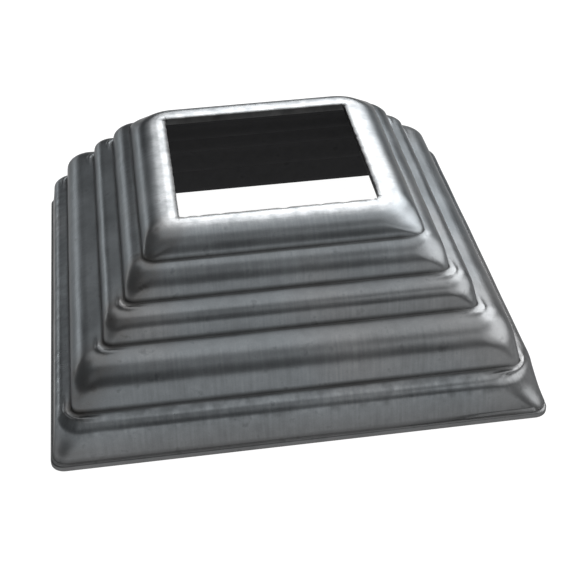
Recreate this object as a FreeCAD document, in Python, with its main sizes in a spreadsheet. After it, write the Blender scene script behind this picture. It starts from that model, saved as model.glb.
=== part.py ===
# Square post rosette: one pressed sheet-steel cover that slides down a square post and hides its foot.
# Five stepped tiers with rounded shoulders, a flat ring round the post hole and a trimmed lip at the foot.
# +Z runs up the post, the origin is the middle of the foot, millimetres.
import FreeCAD
import Part
import Sketcher
import math
import os

# Driving dimensions in millimetres and degrees, tiers numbered from the foot up
DIMENSIONS = {
    "sheet_thickness": 1.5,
    "post_width": 40.0,
    "post_clearance": 0.25,
    "hole_corner": 0.5,
    "ring_width": 8.0,
    "run_1": 4.35,
    "run_2": 7.45,
    "run_3": 4.95,
    "run_4": 4.3,
    "rise_1": 10.0,
    "rise_2": 9.85,
    "rise_3": 6.2,
    "rise_4": 6.3,
    "rise_5": 4.65,
    "lip_overhang": 0.7,
    "foot_flare": 0.8,
    "riser_draft": 7.0,
    "tread_slope": 18.0,
    "shoulder_1": 2.2,
    "shoulder_2": 4.8,
    "shoulder_3": 2.8,
    "shoulder_4": 3.6,
    "shoulder_5": 3.8,
    "lip_corner": 4.6,
    "tier_corner": 6.0,
    "top_corner": 7.0,
}
TIERS = 5
# Share of a wall or of a plan corner that a bend may take up
BEND_FILL = 0.97
# An inside bend whose bevel would be smaller stays sharp
LEAST_BEVEL = 0.7
# How near to a line an edge lies to count as on it
MATCH = 0.02

doc = FreeCAD.newDocument("square_post_rosette")
sizes = doc.addObject("Spreadsheet::Sheet", "Sizes")
for row, (name, value) in enumerate(DIMENSIONS.items(), 1):
    sizes.set(f"A{row}", name)
    sizes.set(f"B{row}", str(value))
    sizes.setAlias(f"B{row}", name)
doc.recompute()

# Sizes that follow from the sheet, each kept as one expression
HOLE = "(Sizes.post_width + 2 * Sizes.post_clearance)"
SHEET = "Sizes.sheet_thickness"
DRAFT = "(Sizes.riser_draft * 1deg)"
SLOPE = "(Sizes.tread_slope * 1deg)"


def level(tier):
    """Height of the crease above a tier, or of the flat ring above the last one."""
    rises = [f"Sizes.rise_{lower}" for lower in range(1, tier + 1)]
    return "(" + " + ".join(["0", *rises]) + ")"


def run(tier):
    """How far a tier reaches in from the foot of its riser; the last one is the flat ring."""
    return "Sizes.ring_width" if tier == TIERS else f"Sizes.run_{tier}"


def width(tier):
    """Width over the foot of a tier's riser."""
    runs = [run(upper) for upper in range(tier, TIERS + 1)]
    return f"({HOLE} + 2 * (" + " + ".join(runs) + "))"


def slope(tier):
    """Fall of a tier's tread; the flat ring has none."""
    return "0deg" if tier == TIERS else SLOPE


def upright(tier):
    """Height of a tier's riser up to the brow, the line where its tread begins."""
    fall = f"tan({slope(tier)})"
    return f"((Sizes.rise_{tier} - {run(tier)} * {fall}) / (1 - {fall} * tan({DRAFT})))"


def tread(tier):
    """Length of a tier's tread along its fall."""
    return f"(({run(tier)} - {upright(tier)} * tan({DRAFT})) / cos({slope(tier)}))"


def foot_corner(tier):
    return "Sizes.top_corner" if tier == TIERS else "Sizes.tier_corner"


def brow_corner(tier):
    """Plan corner at the brow, which keeps the centre of the corner at the foot."""
    return f"({foot_corner(tier)} - {upright(tier)} * tan({DRAFT}))"


def shoulder(tier):
    """Outer bend radius at a tier's brow, held inside its tread, its riser and its plan corner."""
    reach = f"tan(45deg - ({DRAFT} + {slope(tier)}) / 2)"
    wall = f"min({tread(tier)}; {upright(tier)}) / {reach}"
    return f"min(Sizes.shoulder_{tier}; {BEND_FILL} * {wall}; {BEND_FILL} * {brow_corner(tier)})"


def sink(depth, fall):
    """How far in and down a bend moves when the riser and tread that meet there both move into the sheet."""
    share = f"{depth} / (1 + sin({DRAFT} + {fall}))"
    inward = f"({share} * (cos({DRAFT}) + sin({fall})))"
    down = f"({share} * (sin({DRAFT}) + cos({fall})))"
    return inward, down


def foot_line(tier, depth):
    """Height, width and plan corner of the line at the foot of a tier's riser."""
    inward, down = sink(depth, SLOPE)
    return (
        f"({level(tier - 1)} - {down})",
        f"({width(tier)} - 2 * {inward})",
        f"({foot_corner(tier)} - {inward})",
    )


def brow_line(tier, depth):
    """Height, width and plan corner of the line where a tier's riser meets its tread."""
    inward, down = sink(depth, slope(tier))
    return (
        f"({level(tier - 1)} + {upright(tier)} - {down})",
        f"({width(tier)} - 2 * {upright(tier)} * tan({DRAFT}) - 2 * {inward})",
        f"({brow_corner(tier)} - {inward})",
    )


def number(expression):
    value = sizes.evalExpression(expression)
    return float(getattr(value, "Value", value))


def rounded_square(name, height, side, radius):
    """Sketch of a square with rounded corners, centred on the post axis at one height."""
    sketch = doc.addObject("Sketcher::SketchObject", name)
    sketch.setExpression("Placement.Base.z", height)
    half = number(side) / 2
    bend = number(radius)
    near = half - bend
    axis = FreeCAD.Vector(0, 0, 1)
    for turn in range(4):
        spin = FreeCAD.Rotation(axis, 90 * turn)
        start = spin.multVec(FreeCAD.Vector(-near, -half, 0))
        end = spin.multVec(FreeCAD.Vector(near, -half, 0))
        middle = spin.multVec(FreeCAD.Vector(near, -near, 0))
        sketch.addGeometry(Part.LineSegment(start, end))
        turned = (turn - 1) * math.pi / 2
        sketch.addGeometry(Part.ArcOfCircle(Part.Circle(middle, axis, bend), turned, turned + math.pi / 2))
    for place in range(8):
        sketch.addConstraint(Sketcher.Constraint("Tangent", place, 2, (place + 1) % 8, 1))
    for place, lie in ((0, "Horizontal"), (2, "Vertical"), (4, "Horizontal"), (6, "Vertical")):
        sketch.addConstraint(Sketcher.Constraint(lie, place))
    for place in (1, 3, 5):
        sketch.addConstraint(Sketcher.Constraint("Equal", place, place + 2))
    sketch.addConstraint(Sketcher.Constraint("Symmetric", 1, 3, 5, 3, -1, 1))
    across = sketch.addConstraint(Sketcher.Constraint("DistanceX", 6, 1, 2, 1, 2 * half))
    along = sketch.addConstraint(Sketcher.Constraint("DistanceY", 0, 1, 4, 1, 2 * half))
    bent = sketch.addConstraint(Sketcher.Constraint("Radius", 1, bend))
    sketch.setExpression(f"Constraints[{across}]", side)
    sketch.setExpression(f"Constraints[{along}]", side)
    sketch.setExpression(f"Constraints[{bent}]", radius)
    return sketch


def ring_edges(shape, height, half):
    """Edges that run round the shape flat at one height and one distance from the axis."""
    found = []
    for place, edge in enumerate(shape.Edges, 1):
        box = edge.BoundBox
        reach = max(abs(box.XMin), abs(box.XMax), abs(box.YMin), abs(box.YMax))
        flat = abs(box.ZMin - height) < MATCH and abs(box.ZMax - height) < MATCH
        if flat and abs(reach - half) < MATCH:
            found.append(f"Edge{place}")
    if len(found) != 8:
        raise RuntimeError(f"{len(found)} edges instead of 8 at height {height}")
    return found


def dress_line(body, kind, name, line, size, value):
    """Rounds or bevels the edges of the form that lie on one of its lines."""
    height, side, _ = line
    dress = body.newObject(f"PartDesign::{kind}", name)
    edges = ring_edges(dress.BaseFeature.Shape, number(height), number(side) / 2)
    dress.Base = (dress.BaseFeature, edges)
    dress.setExpression(size, value)
    doc.recompute()


def bevel(tier, depth):
    """Setback of the flat that touches the middle of a bend depth below the outer face."""
    half_turn = f"(45deg - ({DRAFT} + {slope(tier)}) / 2)"
    return f"(({shoulder(tier)} - {depth}) * (1 / cos({half_turn}) - 1) / sin({half_turn}))"


def stepped_form(name, depth):
    """The five tiers as a solid with sharp bends, depth below the outer face of the sheet."""
    sections = []
    for tier in range(1, TIERS + 1):
        sections.append(rounded_square(f"{name}Foot{tier}", *foot_line(tier, depth)))
        sections.append(rounded_square(f"{name}Brow{tier}", *brow_line(tier, depth)))
    tiers = doc.addObject("Part::Loft", f"{name}Tiers")
    tiers.Sections = sections
    tiers.Solid = True
    tiers.Ruled = True
    tiers.Linearize = True
    doc.recompute()
    body = doc.addObject("PartDesign::Body", name)
    body.BaseFeature = tiers
    doc.recompute()
    return body


# The outside of the pressing
cover = stepped_form("Cover", "0")
cover.Label = "rosette"
for tier in range(1, TIERS + 1):
    dress_line(cover, "Fillet", f"Shoulder{tier}", brow_line(tier, "0"), "Radius", shoulder(tier))

# The lip left at the foot where the flange was trimmed off
base = f"({width(1)} + 2 * Sizes.lip_overhang)"
outline = rounded_square("LipOutline", "0", base, "Sizes.lip_corner")
cover.addObject(outline)
lip = cover.newObject("PartDesign::Pad", "Lip")
lip.Profile = outline
lip.setExpression("Length", "Sizes.sheet_thickness")
doc.recompute()

# The inside of the pressing, one sheet thickness in from the outside
hollow = stepped_form("Hollow", SHEET)
for tier in range(1, TIERS + 1):
    if number(bevel(tier, SHEET)) >= LEAST_BEVEL:
        dress_line(hollow, "Chamfer", f"InnerBend{tier}", brow_line(tier, SHEET), "Size", bevel(tier, SHEET))
cut = cover.newObject("PartDesign::Boolean", "Inside")
cut.Type = "Cut"
cut.setObjects([hollow])
doc.recompute()

# The foot of the inside, opened out where the sheet turns into the lip
inner_foot = number(f"{width(1)} / 2 - Sizes.sheet_thickness / cos({DRAFT})")
flare = cover.newObject("PartDesign::Chamfer", "Flare")
flare.Base = (flare.BaseFeature, ring_edges(cover.Shape, 0, inner_foot))
flare.setExpression("Size", "Sizes.foot_flare")
doc.recompute()

# The square hole punched for the post
punch = rounded_square("PostOutline", level(TIERS), HOLE, "Sizes.hole_corner")
cover.addObject(punch)
pocket = cover.newObject("PartDesign::Pocket", "PostHole")
pocket.Profile = punch
pocket.setExpression("Length", "2 * Sizes.sheet_thickness")
doc.recompute()

for item in doc.Objects:
    if "Invalid" in item.State or "Error" in item.State:
        raise RuntimeError(f"{item.Name} did not build: {item.State}")
shape = cover.Shape
if shape.isNull() or not shape.isValid() or len(shape.Solids) != 1:
    raise RuntimeError("the rosette is not one valid solid")
os.makedirs("parts", exist_ok=True)
shape.exportStep(f"parts/{cover.Label}.step")
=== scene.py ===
"""Square post rosette: the pressed steel cover as it looks, on a pale studio floor."""

import math
from collections import namedtuple

import bpy
import numpy as np
from mathutils import Matrix, Vector


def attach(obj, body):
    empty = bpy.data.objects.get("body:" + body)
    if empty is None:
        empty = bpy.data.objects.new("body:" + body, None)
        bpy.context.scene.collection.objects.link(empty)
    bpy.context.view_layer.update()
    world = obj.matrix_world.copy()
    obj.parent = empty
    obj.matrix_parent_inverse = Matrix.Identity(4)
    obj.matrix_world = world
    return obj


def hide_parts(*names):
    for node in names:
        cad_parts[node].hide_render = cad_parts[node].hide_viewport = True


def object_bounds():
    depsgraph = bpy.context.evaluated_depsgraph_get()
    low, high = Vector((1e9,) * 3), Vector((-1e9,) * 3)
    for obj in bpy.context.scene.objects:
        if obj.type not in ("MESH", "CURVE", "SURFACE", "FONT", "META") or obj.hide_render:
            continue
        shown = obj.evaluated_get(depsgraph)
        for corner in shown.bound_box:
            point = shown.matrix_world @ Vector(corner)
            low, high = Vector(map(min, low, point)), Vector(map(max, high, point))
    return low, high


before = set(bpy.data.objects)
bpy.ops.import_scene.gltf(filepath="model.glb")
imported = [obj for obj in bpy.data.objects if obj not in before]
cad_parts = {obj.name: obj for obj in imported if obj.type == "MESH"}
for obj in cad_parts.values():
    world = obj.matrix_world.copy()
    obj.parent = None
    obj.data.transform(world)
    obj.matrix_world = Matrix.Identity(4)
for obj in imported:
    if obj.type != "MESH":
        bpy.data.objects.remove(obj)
cad_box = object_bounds()

# Overall size from the frame, millimetres
MM = 0.001
HALF = cad_box[1].x / MM
TOP = cad_box[1].z / MM

# Sheet, and the hole with room for the post
SHEET = 1.5
POST = 40.0
CLEARANCE = 0.25
HOLE_HALF = POST / 2 + CLEARANCE
HOLE_BREAK = 0.16

# Corners of the hole: as the section takes them, as they are from rear right to rear left, front left
# and front right, and how far out from the hole the difference carries
HOLE_CORNER = 1.0
HOLE_CORNERS = np.array([0.6, 0.45, 0.4, 1.5])
HOLE_CORNER_REACH = 3.0

# Tiers from the foot up: how far in each reaches, how far up the next one starts, its shoulder bend
RUNS = (4.35, 7.45, 4.95, 4.3, 8.0)
RISES = (10.0, 9.85, 6.2, 6.3)
SHOULDER = (2.7, 6.0, 3.2, 5.0, 4.8)

# Lean of the risers, fall of the treads, radius of the creases, and how much of a straight bends may take
DRAFT = math.radians(7)
TREAD_FALL = math.radians(18)
CREASE = 0.35
BEND_FILL = 0.97

# Where the riser of each tier stands and how high its foot is
TIERS = range(len(RUNS))
FOOT_HALF = tuple(HOLE_HALF + sum(RUNS[tier:]) for tier in TIERS)
FOOT_LEVEL = tuple(sum(RISES[:tier]) for tier in TIERS)

# Ring round the hole: flat beside the hole, then crowned over to the shoulder, and how far it is worn
RING_FLAT = 2.0
RING_FALL = math.radians(3)
RING_BEND = 9.0
RING_WORN = 3.0

# Plan corners: tight at each foot, how much wider at each brow, and the share of that at each corner
# of the lower tiers and of the top one, which run as the hole's do
LIP_CORNER = 2.8
FOOT_CORNER = (2.8, 2.2, 2.0, 2.0, 2.6)
CORNER_GROWTH = (7.6, 4.8, 3.6, 3.6, 5.6)
CORNER_SHARE = np.array([0.6, 0.2, 0.55, 1.0])
TOP_CORNER_SHARE = np.array([1.0, 1.0, 0.55, 1.0])

# How sharply the plan corners widen, and the tightest one inside
GROWTH_POWER = 1.6
LEAST_CORNER = 1.5

# Foot lip: its section, how far up the wall fills out where the lip fades, and how much of the lip shows
# at the rear and at the left
LIP_HEIGHT = 1.35
LIP_RISE = 0.1
LIP_STEP = 0.45
LIP_ROUND = 0.5
LIP_FOOT_ROUND = 0.3
LIP_FILL = 1.5
REAR_LIP = 0.6
LEFT_LIP = 0.8

# Inside edge of the foot, opened out
FLARE = 1.2
FLARE_OUT = 0.6 * FLARE
FLARE_ROUND = 0.2

# Ridges pinched up beside the creases at the corners: how high, how far from the crease, how wide,
# how uneven, and how sharply they end along the sides
PINCH = 0.3
PINCH_AT = 1.0
PINCH_WIDE = 0.4
PINCH_UNEVEN = 0.25
PINCH_POWER = 3

# Slow waves in the sides: how deep, how many rings apart, and over how many rings each fades
WAVE = 0.02
WAVE_EVERY = 12
WAVE_FADE = 9.0

# Rim of the hole: how deep its nicks are, and how far burrs stand in as a share of that
NICK = 0.1
BURR_SHARE = 0.5

# Start of the random draws
SEED = 11

# Painted shade in the creases: how far it reaches, how strong it is above the lip and at the lip,
# and the share of it at each corner
SHADE_REACH = 0.28
CREASE_SHADE = 0.85
LIP_SHADE = 0.45
SHADE_SHARE = (1.0, 1.0, 1.0, 0.3)

# Brown stain at the corners: how far it reaches from a crease, how strong it is on the faces above
# the first tier, and the share of it at each corner; then how high the darker steel above the lip reaches
STAIN_REACH = 1.8
FACE_STAIN = 0.7
STAIN_SHARE = (0.2, 0.4, 1.0, 0.1)
# Height over which the steel grows darker towards the foot
DARKER_FOOT_HEIGHT = 8.0

# Mesh density: steps round a ring, where a turn is one side and one corner, and distances and angles
# between rings
SIDE_STEPS = 44
CORNER_STEPS = 14
TURN_STEPS = SIDE_STEPS + CORNER_STEPS
STEP = 1.0
TREAD_STEP = 0.35
INSIDE_STEP = 3.0
ARC_STEP = math.radians(7)
LEAST_STEPS = 2
LEAST_ARC_STEPS = 3

# Way round a typical ring, and how far a corner carries into the sides
SIDE_LENGTH = 70.0
CORNER_LENGTH = 9.0
TURN_LENGTH = SIDE_LENGTH + CORNER_LENGTH
ROUND_LENGTH = 4 * TURN_LENGTH
CORNER_BLEND = 2.2

# One bend of the section; a free plan corner follows from the bends on either side
Bend = namedtuple("Bend", "half height radius corner part")
FREE = math.nan


def sink(depth, fall):
    """How far in and down a bend lies when both its faces move depth into the sheet."""
    share = depth / (1 + math.sin(DRAFT + fall))
    return share * (math.cos(DRAFT) + math.sin(fall)), share * (math.sin(DRAFT) + math.cos(fall))


def tier_bends(depth):
    """Foot and brow of every tier, depth below the outer face."""
    bends = []
    heights = (*FOOT_LEVEL, TOP)
    ends = (*FOOT_HALF[1:], HOLE_HALF + RING_FLAT)
    for tier, half in enumerate(FOOT_HALF):
        fall = RING_FALL if tier == TIERS[-1] else TREAD_FALL
        rise = heights[tier + 1] - heights[tier]
        upright = (rise - (half - ends[tier]) * math.tan(fall)) / (1 - math.tan(fall) * math.tan(DRAFT))
        inward, down = sink(depth, TREAD_FALL)
        corner = max(FOOT_CORNER[tier] - depth, LEAST_CORNER)
        part = "inside" if depth else "crease"
        bends.append(Bend(half - inward, heights[tier] - down, CREASE + depth, corner, part))
        inward, down = sink(depth, fall)
        set_in = half - upright * math.tan(DRAFT) - inward
        corner = FOOT_CORNER[tier] + CORNER_GROWTH[tier] - depth if depth else FREE
        part = "inside" if depth else "brow"
        radius = max(SHOULDER[tier] - depth, CREASE)
        bends.append(Bend(set_in, heights[tier] + upright - down, radius, corner, part))
    return bends


def section():
    """Closed section of the sheet from the lip up the outside, through the hole and down the inside."""
    outer = tier_bends(0.0)
    inner = tier_bends(SHEET)
    wall = inner[1].half + (inner[1].height - FLARE) * math.tan(DRAFT)
    lip_crease = HALF - LIP_STEP - LIP_HEIGHT * math.tan(DRAFT)
    lip = [
        Bend(HALF, 0.0, LIP_FOOT_ROUND, LIP_CORNER, "lip"),
        Bend(HALF, LIP_HEIGHT, LIP_ROUND, LIP_CORNER, "lip"),
        Bend(lip_crease, LIP_HEIGHT + LIP_RISE, CREASE, FOOT_CORNER[0], "crease"),
    ]
    hole = [
        Bend(HOLE_HALF + RING_FLAT, TOP, RING_BEND, FREE, "ring"),
        Bend(HOLE_HALF, TOP, HOLE_BREAK, HOLE_CORNER, "hole"),
        Bend(HOLE_HALF, TOP - SHEET, HOLE_BREAK, HOLE_CORNER, "hole"),
        Bend(HOLE_HALF + RING_FLAT, TOP - SHEET, RING_BEND, FREE, "inside"),
    ]
    foot = [
        Bend(wall, FLARE, FLARE, LEAST_CORNER, "inside"),
        Bend(wall + FLARE_OUT, 0.0, FLARE_ROUND, LEAST_CORNER + FLARE_OUT, "inside"),
    ]
    return lip + outer[1:] + hole + inner[:0:-1] + foot


def bend_arcs(bends):
    """Points of the arc at every bend, each radius held to the room that the straights leave."""
    spots = np.array([(bend.half, bend.height) for bend in bends])
    ahead = np.roll(spots, -1, 0) - spots
    length = np.linalg.norm(ahead, axis=1)
    ahead = ahead / length[:, None]
    back = -np.roll(ahead, 1, 0)
    turn = math.pi - np.arccos(np.clip((back * ahead).sum(1), -1, 1))
    reach = np.array([bend.radius for bend in bends]) * np.tan(turn / 2)
    room = np.minimum(1, BEND_FILL * length / (reach + np.roll(reach, -1)))
    radius = reach * np.minimum(room, np.roll(room, 1)) / np.tan(turn / 2)
    arcs = []
    for place, bend in enumerate(bends):
        inward = (back[place] + ahead[place]) / np.linalg.norm(back[place] + ahead[place])
        across = (ahead[place] - back[place]) / np.linalg.norm(ahead[place] - back[place])
        middle = spots[place] + inward * radius[place] / math.cos(turn[place] / 2)
        step = 2 * ARC_STEP if bend.part == "inside" else ARC_STEP
        steps = max(LEAST_ARC_STEPS, round(turn[place] / step))
        swings = (np.arange(steps + 1) / steps - 0.5)[:, None] * turn[place]
        arcs.append(middle + radius[place] * (across * np.sin(swings) - inward * np.cos(swings)))
    return arcs


def straight_step(part):
    """Distance between rings on a straight stretch of the section."""
    if "inside" in part:
        return INSIDE_STEP
    return TREAD_STEP if part == "brow-crease" else STEP


def trace(bends):
    """Samples the rounded section: half width, height and plan corner of each ring, and its part."""
    arcs = bend_arcs(bends)
    rows, parts = [], []
    for place, bend in enumerate(bends):
        following = (place + 1) % len(bends)
        for point in arcs[place]:
            rows.append((*point, bend.corner))
            parts.append(bend.part)
        part = f"{bend.part}-{bends[following].part}"
        start = arcs[place][-1]
        way = arcs[following][0] - start
        steps = max(LEAST_STEPS, math.ceil(np.linalg.norm(way) / straight_step(part)))
        for count in range(1, steps):
            rows.append((*(start + way * count / steps), FREE))
            parts.append(part)
    return np.array(rows), np.array(parts)


def tier_spans(parts):
    """First and last ring of each tier, from crease to crease or to the hole."""
    brow = parts == "brow"
    starts = np.flatnonzero(brow & ~np.roll(brow, 1))
    ends = np.isin(parts, ("crease", "hole"))
    return [
        (int(np.flatnonzero(ends[:start])[-1]), start + int(np.argmax(ends[start:])))
        for start in starts
    ]


def plan_corners(rows, along, parts):
    """Plan corners of every ring: as the bends give them, wider at each brow, and the hole's own."""
    given = rows[:, 2]
    known = ~np.isnan(given)
    corners = np.interp(along, along[known], given[known])[:, None] * np.ones(4)
    spans = tier_spans(parts)
    shares = [CORNER_SHARE] * (len(spans) - 1) + [TOP_CORNER_SHARE]
    for growth, spread, (first, last) in zip(CORNER_GROWTH, shares, spans):
        brow = along[first:last][parts[first:last] == "brow"].mean()
        share = np.interp(along[first:last], (along[first], brow, along[last]), (0, 0.5, 1))
        corners[first:last] += growth * np.sin(math.pi * share)[:, None] ** GROWTH_POWER * spread
    near_hole = np.clip(1 - (rows[:, 0] - HOLE_HALF) / HOLE_CORNER_REACH, 0, 1)
    return corners + (HOLE_CORNERS - HOLE_CORNER) * near_hole[:, None]


def ring(half, corners):
    """Points of one rounded square, from the front end of the right side round the rear to the front."""
    points = []
    for turn in range(4):
        angle = turn * math.pi / 2
        spin = np.array([[math.cos(angle), -math.sin(angle)], [math.sin(angle), math.cos(angle)]])
        bend = corners[turn]
        begin = corners[turn - 1] - half
        for step in range(SIDE_STEPS):
            points.append(spin @ (half, begin + (half - bend - begin) * step / SIDE_STEPS))
        for step in range(CORNER_STEPS):
            swing = step / CORNER_STEPS * math.pi / 2
            middle = half - bend
            points.append(spin @ (middle + bend * math.cos(swing), middle + bend * math.sin(swing)))
    return np.array(points)


def fading(distance, reach):
    """Falls smoothly from 1 to almost nothing as the distance passes the reach."""
    return np.exp(-((distance / reach) ** 2))


def around():
    """For each point round a ring: its way round in millimetres, and how much it belongs to a corner."""
    way, cornered = [], []
    for turn in range(4):
        start = turn * TURN_LENGTH
        for step in range(SIDE_STEPS):
            share = step / SIDE_STEPS
            way.append(start + share * SIDE_LENGTH)
            cornered.append(fading(min(share, 1 - share) * SIDE_LENGTH, CORNER_BLEND))
        for step in range(CORNER_STEPS):
            way.append(start + SIDE_LENGTH + step / CORNER_STEPS * CORNER_LENGTH)
            cornered.append(1.0)
    return np.array(way), np.array(cornered)


def sheet_grid():
    """Points of the whole pressing, ring by ring, with what each ring and each point belongs to."""
    rows, parts = trace(section())
    along = np.concatenate([[0], np.cumsum(np.linalg.norm(np.diff(rows[:, :2], axis=0), axis=1))])
    corners = plan_corners(rows, along, parts)
    way, cornered = around()
    grid = np.zeros((len(rows), len(way), 3))
    for place, (half, height, _) in enumerate(rows):
        grid[place, :, :2] = ring(half, corners[place])
        grid[place, :, 2] = height
    return grid, rows, parts, along, way, cornered


def facing(grid):
    """Outward normals of the closed grid of points."""
    along = np.roll(grid, -1, 0) - np.roll(grid, 1, 0)
    across = np.roll(grid, -1, 1) - np.roll(grid, 1, 1)
    normal = np.cross(across, along)
    return normal / np.linalg.norm(normal, axis=2, keepdims=True)


def ripple(way, rng, longest, count):
    """Smooth uneven line round a ring, about one high, that joins up with itself."""
    line = np.zeros(len(way))
    fewest = round(ROUND_LENGTH / longest)
    for wave in range(count):
        turns = fewest + rng.integers(0, fewest * (wave + 1) + 1)
        shift = rng.uniform(0, 2 * math.pi)
        line += np.sin(2 * math.pi * turns * way / ROUND_LENGTH + shift)
    return line * math.sqrt(2 / count)


def tread_gap(along, parts):
    """Distance from each ring of a tread up to the crease that ends it, without end elsewhere."""
    gap = np.full(len(along), np.inf)
    for place in np.flatnonzero(parts == "brow-crease"):
        ahead = place + int(np.argmax(parts[place:] == "crease"))
        gap[place] = along[ahead] - along[place]
    return gap


def pinched(parts, along, way, cornered, rng):
    """How far the ridges beside the creases stand out, at the corners only."""
    ridge = fading(tread_gap(along, parts) - PINCH_AT, PINCH_WIDE)
    uneven = 1 - PINCH_UNEVEN + PINCH_UNEVEN * ripple(way, rng, longest=80, count=2)
    return PINCH * ridge[:, None] * (cornered**PINCH_POWER * uneven)


def wavy(rows, parts, way, cornered, rng):
    """How far the sides below the top tier wave in and out."""
    outside = np.isin(parts, ("brow", "crease-brow", "brow-crease")) & (rows[:, 1] < FOOT_LEVEL[-1])
    rings = np.arange(len(parts))
    move = np.zeros((len(parts), len(way)))
    for start in range(0, len(parts), WAVE_EVERY):
        wave = WAVE * ripple(way, rng, longest=60, count=3) * (1 - cornered)
        move += (fading(rings - start, WAVE_FADE) * outside)[:, None] * wave
    return move


def lip_share(way):
    """How much of the lip shows round the foot: all of it in the middle of the front, none on the right."""
    front = 3 * TURN_LENGTH
    shares = {
        0.0: 0.0,
        SIDE_LENGTH: 0.0,
        TURN_LENGTH: REAR_LIP,
        front: LEFT_LIP,
        front + SIDE_LENGTH / 2: 1.0,
        front + SIDE_LENGTH: 0.0,
        ROUND_LENGTH: 0.0,
    }
    return np.interp(way, list(shares), list(shares.values()))


def lip_filled(rows, parts, way):
    """How far the wall above the lip stands out to meet it where the lip fades."""
    above_lip = np.isin(parts, ("lip-crease", "crease", "crease-brow")) & (rows[:, 1] < FOOT_LEVEL[1] / 2)
    fill = LIP_STEP * fading(rows[:, 1] - LIP_HEIGHT, LIP_FILL) * above_lip
    return fill[:, None] * (1 - lip_share(way))


def nick_rim(points, rows, parts, way, rng):
    """Moves the upper rim of the hole in and out, with burrs and nicks."""
    rim = (parts == "hole") & (rows[:, 1] > TOP - SHEET / 2)
    uneven = ripple(way, rng, longest=7, count=8) * ripple(way, rng, longest=60, count=3)
    nick = NICK * np.clip(uneven, -1, BURR_SHARE)
    reach = np.hypot(points[:, :, 0], points[:, :, 1])
    for place in np.flatnonzero(rim):
        points[place, :, :2] *= (1 - nick / reach[place])[:, None]
        points[place, :, 2] += np.minimum(nick, 0)


def press_marks(grid, rows, parts, along, way, cornered):
    """The points moved a little, as the press and the punch left them, and kept inside the box."""
    rng = np.random.default_rng(SEED)
    move = pinched(parts, along, way, cornered, rng)
    move += wavy(rows, parts, way, cornered, rng)
    move += lip_filled(rows, parts, way)
    points = grid + facing(grid) * move[:, :, None]
    nick_rim(points, rows, parts, way, rng)
    points[:, :, :2] = points[:, :, :2].clip(-HALF, HALF)
    points[:, :, 2] = points[:, :, 2].clip(0, TOP)
    return points


def by_corner(shares):
    """The share of the nearest corner for each point round a ring."""
    return np.roll(np.repeat(shares, TURN_STEPS), SIDE_STEPS // 2)


def masks(rows, parts, along, cornered):
    """How far each point shows each mark of use and of the press, the painted shade in the creases and the
    hole, and the inside, from 0 to 1.
    """
    outer = np.array(["inside" not in part for part in parts])
    tall = rows[:, 1] > 2 * LIP_HEIGHT
    far = np.abs(along[:, None] - along[None, parts == "crease"]).min(1)
    # Painted shade, darker towards each crease
    painted_shade = fading(far, SHADE_REACH) * outer * np.where(tall, CREASE_SHADE, LIP_SHADE)
    # Painted shade over the whole wall of the hole
    painted_shade = np.maximum(painted_shade, np.isin(parts, ("hole", "hole-hole")))
    bare = 1 - (rows[:, 0] - HOLE_HALF - RING_FLAT) / RING_WORN
    wear = bare.clip(0, 1) * outer * (rows[:, 1] > TOP - SHEET)
    scuff = np.isin(parts, ("brow", "brow-crease")) & (rows[:, 1] < FOOT_LEVEL[1])
    drawn = np.isin(parts, ("crease-brow", "brow"))
    lip = np.clip(1 - rows[:, 1] / DARKER_FOOT_HEIGHT, 0, 1) * outer
    stained = np.maximum(fading(far, STAIN_REACH), FACE_STAIN * (rows[:, 1] > FOOT_LEVEL[1])) * tall
    level = np.ones(len(cornered))
    return {
        "painted_shade": painted_shade[:, None] * (1 - cornered * (1 - by_corner(SHADE_SHARE))),
        "wear": wear[:, None] * level,
        "scuff": scuff[:, None] * level,
        "drawn": drawn[:, None] * (1 - cornered),
        "lip": lip[:, None] * level,
        "stain": stained[:, None] * cornered * by_corner(STAIN_SHARE),
        "inside": (~outer)[:, None] * level,
    }


def side_places(grid):
    """Place of each point along its side, one side after another, carried on round the corners."""
    places = np.zeros(grid.shape[:2])
    ways = ((1, 1), (0, -1), (1, -1), (0, 1))
    for turn, (axis, sign) in enumerate(ways):
        side = slice(turn * TURN_STEPS, turn * TURN_STEPS + SIDE_STEPS + 1)
        places[:, side] = 2 * HALF * turn + sign * grid[:, side, axis]
    once_round = 2 * HALF * len(ways)
    places = np.append(places, places[:, :1] + once_round, 1)
    share = np.arange(CORNER_STEPS) / CORNER_STEPS
    for turn in range(len(ways)):
        first = turn * TURN_STEPS + SIDE_STEPS
        last = first + CORNER_STEPS
        gap = places[:, last] - places[:, first]
        places[:, first:last] = places[:, first, None] + gap[:, None] * share
    return places


def sheet_faces(rings, count):
    """Four-sided faces that join every ring to the next one, and the last to the first."""
    first = np.arange(rings)[:, None]
    place = np.arange(count)[None, :]
    after = (first + 1) % rings
    follow = (place + 1) % count
    corners = [first * count + place, first * count + follow, after * count + follow, after * count + place]
    return np.stack(np.broadcast_arrays(*corners), -1).reshape(-1, 4)


def lay_out(mesh, grid, along):
    """Map of the sheet laid flat: millimetres along each side, and along the section."""
    places = side_places(grid)
    upper = np.roll(places, -1, 0)
    across = np.stack([places[:, :-1], places[:, 1:], upper[:, 1:], upper[:, :-1]], -1)
    next_along = np.append(along[1:], along[-1] + STEP)
    up = np.stack([along, along, next_along, next_along], -1)[:, None]
    spots = np.stack(np.broadcast_arrays(across, up), -1)
    layer = mesh.uv_layers.new(name="sheet")
    layer.uv.foreach_set("vector", spots.astype(np.float32).ravel())


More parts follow.
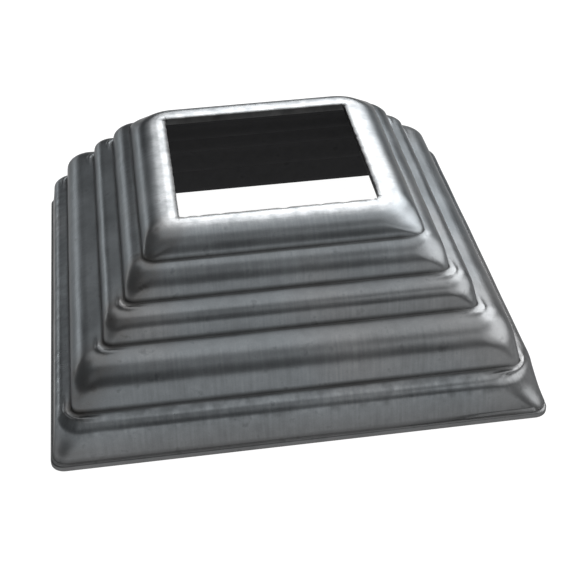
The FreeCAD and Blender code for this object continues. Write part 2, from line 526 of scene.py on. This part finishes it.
def sheet_mesh():
    """The pressing as one closed mesh, with its masks and the map of the sheet."""
    grid, rows, parts, along, way, cornered = sheet_grid()
    points = press_marks(grid, rows, parts, along, way, cornered)
    mesh = bpy.data.meshes.new("rosette_sheet")
    faces = sheet_faces(len(rows), len(way))
    mesh.from_pydata((points.reshape(-1, 3) * MM).tolist(), [], faces.tolist())
    mesh.shade_smooth()
    for name, values in masks(rows, parts, along, cornered).items():
        layer = mesh.attributes.new(name, "FLOAT", "POINT")
        layer.data.foreach_set("value", values.astype(np.float32).ravel())
    lay_out(mesh, grid, along)
    return mesh


# Nearly all of a noise lies between these
NOISE_LOW = 0.3
NOISE_HIGH = 0.7

# Places of the colour sockets on a mix node
MIX_FIRST = 6
MIX_SECOND = 7
MIX_RESULT = 2


class Nodes:
    """Short ways to add and join the nodes of one material."""

    def __init__(self, material):
        material.use_nodes = True
        self.tree = material.node_tree
        self.shader = self.tree.nodes["Principled BSDF"]

    def put(self, value, socket):
        """Joins a socket to another one, or sets its value."""
        if isinstance(value, bpy.types.NodeSocket):
            self.tree.links.new(value, socket)
        else:
            socket.default_value = value

    def add(self, kind, inputs=None, **settings):
        """New node with its settings, and its inputs joined or set."""
        node = self.tree.nodes.new(kind)
        for name, value in settings.items():
            setattr(node, name, value)
        for name, value in (inputs or {}).items():
            self.put(value, node.inputs[name])
        return node

    def mask(self, name):
        return self.add("ShaderNodeAttribute", attribute_name=name).outputs["Fac"]

    def math(self, operation, first, second):
        return self.add("ShaderNodeMath", {0: first, 1: second}, operation=operation).outputs[0]

    def product(self, value, *others):
        for other in others:
            value = self.math("MULTIPLY", value, other)
        return value

    def total(self, value, *others):
        for other in others:
            value = self.math("ADD", value, other)
        return value

    def noise(self, place, scale, detail, stretch=(1, 1, 1)):
        spread = self.add("ShaderNodeVectorMath", {0: place, 1: stretch}, operation="MULTIPLY").outputs[0]
        inputs = {"Vector": spread, "Scale": scale, "Detail": detail}
        return self.add("ShaderNodeTexNoise", inputs).outputs["Fac"]

    def range(self, value, low, high, start=NOISE_LOW, end=NOISE_HIGH):
        """Goes from low to high as the value goes from start to end."""
        inputs = {"Value": value, "From Min": start, "From Max": end, "To Min": low, "To Max": high}
        return self.add("ShaderNodeMapRange", inputs).outputs[0]

    def mix(self, share, first, second):
        """From the first colour to the second one by a share; a tuple is a plain colour."""
        node = self.add("ShaderNodeMix", {0: share}, data_type="RGBA")
        for place, value in ((MIX_FIRST, first), (MIX_SECOND, second)):
            self.put((*value, 1) if isinstance(value, tuple) else value, node.inputs[place])
        return node.outputs[MIX_RESULT]

    def scaled(self, colour, factor):
        """Colour made darker or lighter by a factor."""
        return self.add("ShaderNodeVectorMath", {0: colour, "Scale": factor}, operation="SCALE").outputs[0]


# Colours of the steel, from the plain sheet to the painted shade inside, and the tint of reflections at low
# angles
STEEL = (0.141, 0.152, 0.160)
WARM_STEEL = (0.150, 0.146, 0.144)
LIP_STEEL = (0.100, 0.096, 0.094)
BARE = (0.310, 0.316, 0.322)
# Painted shade for the creases and the wall of the hole
PAINTED_SHADE_COLOUR = (0.028, 0.027, 0.026)
STAIN = (0.070, 0.064, 0.060)
# Painted shade for the whole inside of the shell
INSIDE_SHADE = (0.034, 0.034, 0.035)
EDGE_TINT = (0.42, 0.42, 0.42, 1)

# Noise levels where the warm tint, the pits and the scuffed patches begin and are full
TINT_SPAN = (0.52, 0.72)
PIT_SPAN = (0.62, 0.72)
SCUFF_SPAN = (0.34, 0.66)

# Relief of the steel: how strong, and how deep in metres
BUMP_STRENGTH = 0.2
BUMP_DEPTH = 0.00003

Noises = namedtuple("Noises", "tint patches blotches grain streaks ragged")


def steel_noises(make):
    """What the look is made of: four noises in space, from slow to fine, and two laid out on the sheet."""
    place = make.add("ShaderNodeTexCoord").outputs["Object"]
    on_sheet = make.add("ShaderNodeUVMap", uv_map="sheet").outputs["UV"]
    return Noises(
        tint=make.noise(place, scale=28.0, detail=1.0),
        patches=make.noise(place, scale=60.0, detail=3.0),
        blotches=make.noise(place, scale=420.0, detail=4.0),
        grain=make.noise(place, scale=4200.0, detail=2.0),
        streaks=make.noise(on_sheet, scale=1.7, detail=4.0, stretch=(1.0, 0.05, 0)),
        ragged=make.noise(on_sheet, scale=1.0, detail=4.0, stretch=(0.5, 0.3, 0)),
    )


def steel_tone(make, noises, drawn, scuff):
    """How much lighter or darker each spot is than its colour."""
    return make.product(
        make.range(noises.patches, 0.88, 1.12),
        make.range(noises.grain, 0.95, 1.05),
        make.range(noises.blotches, 0.92, 1.08),
        make.range(noises.blotches, 1.0, 0.75, *PIT_SPAN),
        make.math("POWER", make.range(noises.streaks, 0.92, 1.08), drawn),
        make.math("SUBTRACT", 1.0, scuff),
    )


def steel_colour(make, noises, painted_shade, inside):
    """Plain and warm steel, then what lies over it: lip, stain, bare ring, painted shade in the creases and
    the hole, and painted shade inside.
    """
    stain = make.product(make.mask("stain"), make.range(noises.blotches, 0.4, 0.9))
    wear = make.product(make.mask("wear"), make.range(noises.blotches, 0.35, 1.0))
    colour = make.mix(make.range(noises.tint, 0.0, 0.7, *TINT_SPAN), STEEL, WARM_STEEL)
    colour = make.mix(make.product(make.mask("lip"), 0.7), colour, LIP_STEEL)
    colour = make.mix(stain, colour, STAIN)
    colour = make.mix(wear, colour, BARE)
    # Painted shade in the creases and on the wall of the hole
    colour = make.mix(painted_shade, colour, PAINTED_SHADE_COLOUR)
    # Painted shade over the whole inside of the shell
    return make.mix(inside, colour, INSIDE_SHADE)


def drawn_steel():
    """Oiled sheet steel: dark grey, streaked as it was drawn, bare on the ring, with painted shade in the
    creases, the hole and the inside.
    """
    material = bpy.data.materials.new("drawn_steel")
    make = Nodes(material)
    noises = steel_noises(make)
    drawn = make.mask("drawn")
    inside = make.mask("inside")
    scuff = make.product(make.mask("scuff"), make.range(noises.ragged, -0.12, 0.22, *SCUFF_SPAN))
    # Painted shade in the creases and the hole, a little patchy
    painted_shade = make.product(make.mask("painted_shade"), make.range(noises.patches, 0.7, 0.95))
    colour = make.scaled(steel_colour(make, noises, painted_shade, inside), steel_tone(make, noises, drawn, scuff))
    rough = make.total(
        make.range(noises.patches, 0.28, 0.36),
        make.product(painted_shade, 0.2),
        make.product(inside, 0.4),
        make.product(scuff, 0.2),
    )
    height = make.total(
        make.product(noises.streaks, drawn, 0.5),
        make.product(noises.grain, 0.6),
        make.product(noises.blotches, 0.5),
    )
    relief = {"Height": height, "Strength": BUMP_STRENGTH, "Distance": BUMP_DEPTH}
    looks = {
        "Base Color": colour,
        "Roughness": rough,
        "Normal": make.add("ShaderNodeBump", relief).outputs[0],
        "Metallic": 1.0,
        "Specular Tint": EDGE_TINT,
    }
    for name, value in looks.items():
        make.put(value, make.shader.inputs[name])
    return material


mesh = sheet_mesh()
mesh.materials.append(drawn_steel())
sheet = bpy.data.objects.new("rosette_sheet", mesh)
bpy.context.scene.collection.objects.link(sheet)
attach(sheet, "root")
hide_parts("rosette")

# Pale floor that glows, as a lit table does, a little below the foot; metres
FLOOR_HALF = 2.0
FLOOR_DROP = 0.0002
FLOOR_LOOKS = {
    "Base Color": (0.1, 0.1, 0.1, 1),
    "Roughness": 0.9,
    "Specular IOR Level": 0.0,
    "Emission Color": (1, 1, 1, 1),
    "Emission Strength": 1.0,
}


def floor():
    made = bpy.data.meshes.new("floor")
    turns = ((-1, -1), (1, -1), (1, 1), (-1, 1))
    made.from_pydata([(x * FLOOR_HALF, y * FLOOR_HALF, 0) for x, y in turns], [], [(0, 1, 2, 3)])
    material = bpy.data.materials.new("floor")
    make = Nodes(material)
    for name, value in FLOOR_LOOKS.items():
        make.put(value, make.shader.inputs[name])
    made.materials.append(material)
    base = bpy.data.objects.new("floor", made)
    base.location.z = -FLOOR_DROP
    bpy.context.scene.collection.objects.link(base)


floor()

# Soft lights one metre off: where each stands (degrees from behind towards the right, and up),
# how wide and tall it looks in degrees, and how bright its face is
SOFT_LIGHTS = {
    "window": (28, 31, 52, 20, 7.4),
    "right": (92, 28, 50, 32, 4.0),
    "corner": (52, 48, 40, 18, 5.2),
    "front_right": (140, 34, 36, 30, 1.5),
    "front": (180, 58, 80, 36, 0.38),
    "overhead": (20, 75, 70, 50, 1.35),
    "rear_left": (340, 42, 44, 20, 1.25),
    "low_left": (320, 3, 40, 9, 3.8),
}
LIGHT_DISTANCE = 1.0


def direction(azimuth, elevation):
    """Way out from the part, by degrees from behind towards the right, and up."""
    turn = math.radians(azimuth)
    rise = math.radians(elevation)
    return Vector((math.sin(turn) * math.cos(rise), math.cos(turn) * math.cos(rise), math.sin(rise)))


def soft_light(name, azimuth, elevation, wide, tall, brightness):
    """Flat lamp that faces the part and that the camera doesn't see."""
    back = direction(azimuth, elevation)
    lamp = bpy.data.lights.new(name, "AREA")
    lamp.shape = "RECTANGLE"
    lamp.size = 2 * LIGHT_DISTANCE * math.tan(math.radians(wide / 2))
    lamp.size_y = 2 * LIGHT_DISTANCE * math.tan(math.radians(tall / 2))
    lamp.energy = math.pi * lamp.size * lamp.size_y * brightness
    item = bpy.data.objects.new(name, lamp)
    item.location = Vector((0, 0, TOP / 2 * MM)) + back * LIGHT_DISTANCE
    item.visible_camera = False
    item.rotation_mode = "QUATERNION"
    item.rotation_quaternion = (-back).to_track_quat("-Z", "Y")
    bpy.context.scene.collection.objects.link(item)


for name, settings in SOFT_LIGHTS.items():
    soft_light(name, *settings)

# Dim room all round
ROOM = (0.2, 0.2, 0.2, 1)
world = bpy.data.worlds.new("studio")
world.use_nodes = True
world.node_tree.nodes["Background"].inputs["Color"].default_value = ROOM
bpy.context.scene.world = world
bpy.context.scene.view_settings.view_transform = "Standard"

# Camera: where it stands, in degrees as the lights and in millimetres, how far right of its axis and
# above it the middle of the foot lies, and its lens
CAMERA_AZIMUTH = 187.438
CAMERA_ELEVATION = 36.003
CAMERA_ROLL = math.radians(-1.38)
CAMERA_DISTANCE = 294.77
CAMERA_SIDE = -2.817
CAMERA_RISE = -2.965
CAMERA_LENS = 81.52
CAMERA_SENSOR = 36.0
CAMERA_NEAR = 0.01


def camera():
    """Camera of the photo, which looks at the part from the front and a little from the left."""
    back = direction(CAMERA_AZIMUTH, CAMERA_ELEVATION)
    level = Vector((-back.y, back.x, 0)).normalized()
    up = back.cross(level)
    right = math.cos(CAMERA_ROLL) * level + math.sin(CAMERA_ROLL) * up
    over = -math.sin(CAMERA_ROLL) * level + math.cos(CAMERA_ROLL) * up
    lens = bpy.data.cameras.new("camera")
    lens.lens = CAMERA_LENS
    lens.sensor_width = CAMERA_SENSOR
    lens.clip_start = CAMERA_NEAR
    item = bpy.data.objects.new("camera", lens)
    place = back * CAMERA_DISTANCE - right * CAMERA_SIDE - over * CAMERA_RISE
    item.matrix_world = Matrix.Translation(place * MM) @ Matrix((right, over, back)).transposed().to_4x4()
    bpy.context.scene.collection.objects.link(item)
    bpy.context.scene.camera = item


camera()
